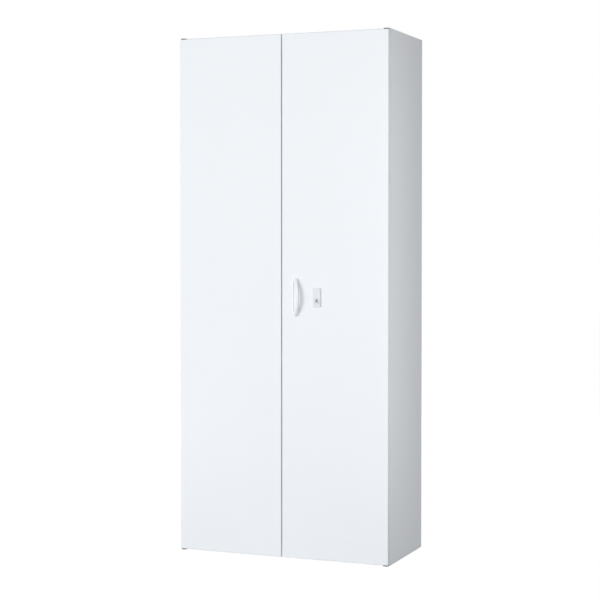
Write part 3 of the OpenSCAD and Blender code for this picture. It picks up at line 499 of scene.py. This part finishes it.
def base_plate(low, high, half):
    """Handle's base: a plate with a rounded edge and a dish for the fingertips."""
    size = high - low
    middle = (low + high) / 2
    corner = POST_R - MM
    edge = 1.5 * MM
    lip = 0.5 * MM
    foot = 1.5 * MM
    top = size.y
    outside = [(0, 0), (0, top - edge)] + [(edge - c, top - edge + s) for s, c in quarter(edge)[1:]]
    dish_length = 2 * (half - POST_R - DISH_RIM)
    dish_width = size.x - 2 * DISH_RIM
    dish = [(-lip, top), (-lip * 0.3, top - lip * 0.3), (0, top - lip)]
    dish += [(foot - c, DISH_FLOOR + foot - s) for s, c in quarter(foot)]
    rings = plate_rings(size.x, size.z, corner, outside)
    rings += plate_rings(dish_width, dish_length, corner - DISH_RIM, dish)
    mesh = bmesh.new()
    loft(mesh, rings, at(middle.x, high.y, middle.z, TO_FRONT))
    piece(mesh, "pull_plate", "right_door", "handle_white", ["handle_base"])


def plate_rings(width, height, corner, sections):
    """Rings of a plate with rounded corners, from (inset, height) pairs up its edge."""
    rings = []
    for inset, up in sections:
        outline = rounded_outline(width - 2 * inset, height - 2 * inset, max(corner - inset, 0.1 * MM))
        rings.append([(x, y, up) for x, y in outline])
    return rings


# Lock

KEYWAY_WIDTH = 2.4 * MM
KEYWAY_HEIGHT = 9 * MM
KEYWAY_DEPTH = 11 * MM
KEYWAY_CHAMFER = 0.5 * MM
PLUG_CHAMFER = 0.4 * MM


def lock():
    """Lock plate with rounded edges, the barrel's turned bezel, and the key plug."""
    low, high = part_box("lock_plate")
    middle = (low + high) / 2
    size = high - low
    corner = 3 * MM
    edge = 1.6 * MM
    sections = [(0, 0), (0, size.y - edge)]
    sections += [(edge - c, size.y - edge + s) for s, c in quarter(edge)[1:]]
    mesh = bmesh.new()
    loft(mesh, plate_rings(size.x, size.z, corner, sections), at(middle.x, high.y, middle.z, TO_FRONT))
    plate = piece(mesh, "lock_escutcheon", "right_door", "handle_white", ["lock_plate"], look="lock_white")
    x, y, z = middle_of("lock_barrel")
    opening = bmesh.new()
    hole(opening, at(x, middle.y, z, TO_FRONT), BARREL_HOLE_R, size.y)
    cut(plate, opening)

    barrel_low, barrel_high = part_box("lock_barrel")
    plug_low, plug_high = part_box("key_plug")
    bezel_r = (barrel_high.x - barrel_low.x) / 2
    plug_r = (plug_high.x - plug_low.x) / 2
    barrel_r = 10 * MM
    rim = 1.5 * MM
    length = barrel_high.y - barrel_low.y
    bore = plug_r + 0.15 * MM
    back = 0.3 * MM
    barrel = [(bore, back), (barrel_r, back), (barrel_r, length - rim), (bezel_r, length - rim)]
    outer_edge = [
        (bezel_r, length - rim * 0.7), (bezel_r - 0.5 * MM, length - 0.2 * MM),
        (bezel_r - 1.2 * MM, length),
    ]
    inner_edge = [
        (bezel_r - 2.6 * MM, length), (bezel_r - 3.2 * MM, length - 0.4 * MM),
        (bore + 1.0 * MM, length - 0.9 * MM), (bore + 0.2 * MM, length - 1.0 * MM),
        (bore, length - 1.2 * MM),
    ]
    profile = barrel + outer_edge + inner_edge + [(bore, back)]
    mesh = bmesh.new()
    loft(mesh, turned(profile, 96), at(x, barrel_high.y, z, TO_FRONT), caps=(False, False))
    bmesh.ops.remove_doubles(mesh, verts=mesh.verts, dist=WELD)
    piece(mesh, "lock_bezel", "right_door", "lock_metal", ["lock_barrel"])
    key_plug(x, z, plug_low, plug_high, plug_r)


def slot_outline(width, height, count):
    """Points round a slot with square ends, at even angles."""
    points = []
    for i in range(count):
        a = 2 * math.pi * (i + 0.5) / count
        c, s = math.cos(a), math.sin(a)
        r = min(width / 2 / max(abs(c), 1e-6), height / 2 / max(abs(s), 1e-6))
        points.append((r * c, r * s))
    return points


def key_plug(x, z, low, high, r):
    """Key plug: a turned face with a chamfered keyway that goes in."""
    length = high.y - low.y
    count = 64
    turns = [2 * math.pi * (i + 0.5) / count for i in range(count)]
    rings = []
    for ring_r, up in [(r, 0), (r, length - PLUG_CHAMFER), (r - PLUG_CHAMFER, length)]:
        rings.append([(ring_r * math.cos(a), ring_r * math.sin(a), up) for a in turns])
    chamfer = [(KEYWAY_CHAMFER, length), (0, length - KEYWAY_CHAMFER)]
    for grow, up in chamfer + [(0, length - KEYWAY_DEPTH)]:
        outline = slot_outline(KEYWAY_WIDTH + grow, KEYWAY_HEIGHT + grow, count)
        rings.append([(u, v, up) for u, v in outline])
    mesh = bmesh.new()
    loft(mesh, rings, at(x, high.y, z, TO_FRONT))
    # The plug's darker metal is partly painted shade of the keyhole around the keyway
    made = piece(mesh, "lock_plug", "lock", "lock_metal", ["key_plug"], look="plug_metal_painted_shade")
    # With the door wide open and the key turned, Euler angles would lose a little of the turn
    made.parent.rotation_mode = "QUATERNION"


# Screws

def screw_profile(head_r, head_h, shank_r, length, pitch):
    """Half section of a screw, from the shank's end to the top of its domed head."""
    deep = pitch * 0.3
    profile = [(shank_r * 0.5, -length), (shank_r - deep, pitch * 0.6 - length)]
    turns = int((length - pitch) / pitch)
    for i in range(turns):
        up = pitch * (i + 0.8) - length
        profile += [(shank_r - deep, up), (shank_r, up + pitch * 0.35), (shank_r, up + pitch * 0.5)]
    shoulder = head_h * 0.35
    crown_r = head_r * 0.12
    profile += [(shank_r * 0.95, -pitch * 0.1), (head_r, 0), (head_r, shoulder)]
    for i in range(1, 4):
        s, c = math.sin(math.pi / 8 * i), math.cos(math.pi / 8 * i)
        profile.append((head_r * c + crown_r * s, shoulder + (head_h - shoulder) * s))
    profile.append((crown_r, head_h))
    return profile


def cross_recess(mesh, place, r, deep, top):
    """Tool for a tapered cross recess of radius r in a head whose top is at a height."""
    rings = []
    for long, wide, up in ((r * 0.55, r * 0.15, top - deep), (r, r * 0.26, top + 0.2 * MM)):
        arm = [(long, -wide), (long, wide), (wide, wide)]
        points = []
        for k in range(4):
            turn = Matrix.Rotation(math.pi / 2 * k, 2)
            points += [turn @ Vector(point) for point in arm]
        rings.append([(x, y, up) for x, y in points])
    loft(mesh, rings, place)


def screws(name, node, body, facing_of, shank_r, pitch):
    """Cross-headed screws in the places of a node's solids; facing_of gives the way a head looks."""
    shape = bmesh.new()
    recess = bmesh.new()
    for low, high in solid_boxes(node):
        turn = facing_of(low)
        facing = turn.to_3x3() @ Vector((0, 0, 1))
        axis = max(range(3), key=lambda i: abs(facing[i]))
        across = (axis + 1) % 3
        head_r = (high[across] - low[across]) / 2
        head_h = head_r * 0.4
        length = high[axis] - low[axis] - head_h
        under = (low + high) / 2
        under[axis] = high[axis] - head_h if facing[axis] > 0 else low[axis] + head_h
        place = Matrix.Translation(under) @ turn
        loft(shape, turned(screw_profile(head_r, head_h, shank_r, length, pitch), 32), place)
        cross_recess(recess, place, head_r * 0.5, head_h * 0.75, head_h)
    made = piece(shape, name, body, "zinc", [node])
    cut(made, recess)


def all_screws():
    """The handle's, the cover's and the keeper's screws face back, the strike plates' into the cabinet."""
    def to_back(low):
        return TO_BACK

    def to_inside(low):
        return UP if low.z < 1 else DOWN

    small_r = 1.9 * MM
    screws("bow_screws", "handle_screws", "right_door", to_back, shank_r=2.5 * MM, pitch=0.8 * MM)
    screws("cover_screws", "lock_cover_screws", "right_door", to_back, shank_r=small_r, pitch=0.5 * MM)
    screws("keeper_screws", "left_keeper_screws", "left_door", to_back, shank_r=small_r, pitch=0.5 * MM)
    screws("strike_plate_screws", "strike_screws", "root", to_inside, shank_r=small_r, pitch=0.7 * MM)


# Feet, catches, bumpers and plugs

FOOT_PAD_H = 10 * MM
FOOT_STEM_R = 5 * MM
FOOT_PITCH = 1.5 * MM
PAD_EDGE = 2 * MM
PAD_RIB_PITCH = 1.6 * MM
PAD_RIB_DEPTH = 0.5 * MM
PAD_SINK = 0.6 * MM
DRIVE_SLOT_WIDTH = 2 * MM
DRIVE_SLOT_DEPTH = 3 * MM


def thread_profile(r, low, high, pitch):
    """Half section of a thread between two heights."""
    deep = pitch * 0.35
    profile = [(r - deep, low)]
    for i in range(int((high - low) / pitch)):
        up = low + pitch * i
        profile += [(r - deep, up + pitch * 0.3), (r, up + pitch * 0.6), (r, up + pitch * 0.75)]
    profile += [(r - deep, high), (r * 0.5, high)]
    return profile


def levelling_foot(corner):
    """A foot: a moulded pad with ribbed sides, and a threaded stem with a slot for a driver."""
    node = "foot_" + corner
    low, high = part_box(node)
    middle = (low + high) / 2
    place = at(middle.x, middle.y, low.z)
    r = (high.x - low.x) / 2
    h = FOOT_PAD_H
    top = high.z - low.z
    inner = r - PAD_RIB_DEPTH
    profile = [(0.4 * MM, 0), (r - PAD_EDGE, 0), (inner, PAD_EDGE * 0.6), (r, PAD_EDGE)]
    for i in range(3):
        up = PAD_EDGE + (i + 0.5) * PAD_RIB_PITCH
        profile += [(r, up), (inner, up + 0.3 * MM), (inner, up + 0.7 * MM), (r, up + 1.0 * MM)]
    profile += [(r, h - 1.6 * MM), (r - 1.0 * MM, h - 0.4 * MM), (r - 2.0 * MM, h)]
    profile += [(FOOT_STEM_R + 2 * MM, h), (FOOT_STEM_R, h - PAD_SINK)]
    mesh = bmesh.new()
    loft(mesh, turned(profile, 64), place)
    piece(mesh, node + "_pad", node, "black_plastic", [node])

    stem = [(0.5 * MM, h - PAD_SINK)] + thread_profile(FOOT_STEM_R, h - PAD_SINK, top, FOOT_PITCH)
    mesh = bmesh.new()
    loft(mesh, turned(stem, 32), place)
    made = piece(mesh, node + "_stem", node, "zinc")
    x = FOOT_STEM_R + MM
    y = DRIVE_SLOT_WIDTH / 2
    bar = [(-x, -y), (x, -y), (x, y), (-x, y)]
    slot = bmesh.new()
    loft(slot, [[(u, v, up) for u, v in bar] for up in (top - DRIVE_SLOT_DEPTH, top + MM)], place)
    cut(made, slot)


def catches():
    """Magnetic catches: a moulded case with two steel pole plates at its front."""
    stand = 1.2 * MM
    sunk = 6 * MM
    bevel = 1.5 * MM
    pole_t = 2 * MM
    pole_edge = 0.3 * MM
    pole_l = stand + sunk
    pole_sections = [(0, 0), (0, pole_l - pole_edge), (pole_edge, pole_l)]
    case = bmesh.new()
    poles = bmesh.new()
    for low, high in solid_boxes("magnet_catches"):
        size = high - low
        middle = (low + high) / 2
        front = size.y - stand
        sections = [(0, 0), (0, front - bevel), (bevel, front)]
        loft(case, plate_rings(size.x, size.z, 2 * MM, sections), at(middle.x, high.y, middle.z, TO_FRONT))
        for side in (-1, 1):
            pole = plate_rings(size.x * 0.72, pole_t, pole_edge, pole_sections)
            z = middle.z + side * size.z * 0.24
            loft(poles, pole, at(middle.x, low.y + pole_l, z, TO_FRONT))
    piece(case, "catch_cases", "root", "grey_plastic", ["magnet_catches"])
    piece(poles, "catch_poles", "root", "zinc")


def bumpers():
    """Door buffers: low domes with a flat, stuck to the carcass front."""
    mesh = bmesh.new()
    for low, high in solid_boxes("door_bumpers"):
        middle = (low + high) / 2
        r = (high.x - low.x) / 2
        h = high.y - low.y
        wall = h * 0.3
        dome = [(r, 0), (r, wall)]
        dome += [(r * 0.55 + c, wall + s / r * h * 1.55) for s, c in quarter(r * 0.45, 6)[1:]]
        loft(mesh, turned(dome, 40), at(middle.x, high.y, middle.z, TO_FRONT))
    piece(mesh, "door_buffers", "root", "rubber_grey", ["door_bumpers"])


def hole_plugs():
    """Press-in plugs over the holes through which the feet are turned."""
    neck = 7.9 * MM
    brim = 1.5 * MM
    mesh = bmesh.new()
    for low, high in solid_boxes("foot_hole_plugs"):
        middle = (low + high) / 2
        r = (high.x - low.x) / 2
        h = high.z - low.z
        profile = [(neck - MM, 0), (neck, 0.4 * MM), (neck, h - brim), (r, h - brim), (r, h - 1.0 * MM)]
        profile += [(r - 0.6 * MM, h - 0.3 * MM), (r - 2.5 * MM, h)]
        profile += [(r - 5 * MM, h), (r - 6 * MM, h - 0.4 * MM)]
        loft(mesh, turned(profile), at(middle.x, middle.y, low.z))
    piece(mesh, "adjusting_hole_plugs", "root", "handle_white", ["foot_hole_plugs"])


# Floor, light and camera

AMBIENT = 0.40


def floor():
    """A wide plain floor, which isn't part of the cabinet."""
    mesh = bmesh.new()
    bmesh.ops.create_grid(mesh, x_segments=2, y_segments=2, size=20)
    data = bpy.data.meshes.new("floor")
    mesh.to_mesh(data)
    mesh.free()
    ground = bpy.data.objects.new("floor", data)
    bpy.context.scene.collection.objects.link(ground)
    data.materials.append(floor_material())


def seen_directly(shade):
    """1 for rays from the camera, a reflection or glass, otherwise 0."""
    path = shade.node("ShaderNodeLightPath", out="Is Camera Ray")
    glossy = Shade(shade.tree, path.socket.node.outputs["Is Glossy Ray"])
    through = Shade(shade.tree, path.socket.node.outputs["Is Transmission Ray"])
    rays = path + glossy + through
    return rays.maths("MINIMUM", rays, 1.0)


def floor_material():
    """Pale floor: white where it is seen, with a light trace of the cabinet's shadow."""
    shadow_share = 0.10
    pale = (0.5, 0.5, 0.5, 1)
    white = (1, 1, 1, 1)
    material = bpy.data.materials.new("floor")
    material.use_nodes = True
    tree = material.node_tree
    tree.nodes.clear()
    start = Shade(tree)
    seen = seen_directly(start)
    paint = start.node("ShaderNodeBsdfDiffuse", None, {"Color": blend_colour(start, seen, pale, white)})
    strength = (1 - shadow_share * AMBIENT) / (1 - shadow_share)
    glow = start.node("ShaderNodeEmission", None, {"Color": white, "Strength": strength})
    mixed = start.node("ShaderNodeMixShader", None, {0: seen * (1 - shadow_share), 1: paint, 2: glow})
    start.node("ShaderNodeOutputMaterial", None, {"Surface": mixed})
    return material


def light():
    """Even studio: white all round, a large key and a low strip in front, a tall fill, a lamp behind."""
    world = bpy.data.worlds.new("studio")
    bpy.context.scene.world = world
    world.use_nodes = True
    tree = world.node_tree
    tree.nodes.clear()
    start = Shade(tree)
    level = seen_directly(start) * (1 - AMBIENT) + AMBIENT
    sky = start.node("ShaderNodeBackground", None, {"Color": (1, 1, 1, 1), "Strength": level})
    start.node("ShaderNodeOutputWorld", None, {"Surface": sky})
    # name, power, width, height, place, target
    soft_lamp("key", 445, 6.0, 6.0, (-1.8, -7.5, 1.5), (0.0, -0.2, 1.1))
    soft_lamp("fill", 2.0, 0.2, 2.0, (0.95, -0.31, 1.2), (0.45, -0.2, 1.2))
    soft_lamp("low", 2.5, 2.6, 0.3, (-0.4, -1.6, 0.3), (0.0, -0.2, 0.2))
    soft_lamp("back", 90, 1.5, 1.5, (-0.6, 5.0, 1.8), (-0.1, 0.23, 1.1))


def soft_lamp(name, power, width, height, place, target):
    """A soft box that points at its target and doesn't show in the picture."""
    lamp = bpy.data.lights.new(name, "AREA")
    lamp.shape = "RECTANGLE"
    lamp.energy = power
    lamp.size = width
    lamp.size_y = height
    made = bpy.data.objects.new(name, lamp)
    bpy.context.scene.collection.objects.link(made)
    made.location = place
    made.rotation_euler = (Vector(target) - Vector(place)).to_track_quat("-Z", "Y").to_euler()
    made.visible_camera = False


def camera():
    """The photograph's viewpoint, with the small shift that its framing needs."""
    lens = bpy.data.cameras.new("camera")
    lens.sensor_width = 36
    lens.lens = 92.367
    lens.shift_y = -0.05
    lens.clip_end = 100
    view = bpy.data.objects.new("camera", lens)
    view.location = (2.3872, -5.866, 1.2924)
    view.rotation_euler = (math.radians(88.729), 0, math.radians(22.153))
    bpy.context.scene.collection.objects.link(view)
    bpy.context.scene.camera = view


camera()
light()
floor()
doors()
shelves()
handle()
lock()
all_screws()
for corner in ("front_left", "front_right", "rear_left", "rear_right"):
    levelling_foot(corner)
catches()
bumpers()
hole_plugs()

bpy.context.scene.view_settings.view_transform = "Standard"
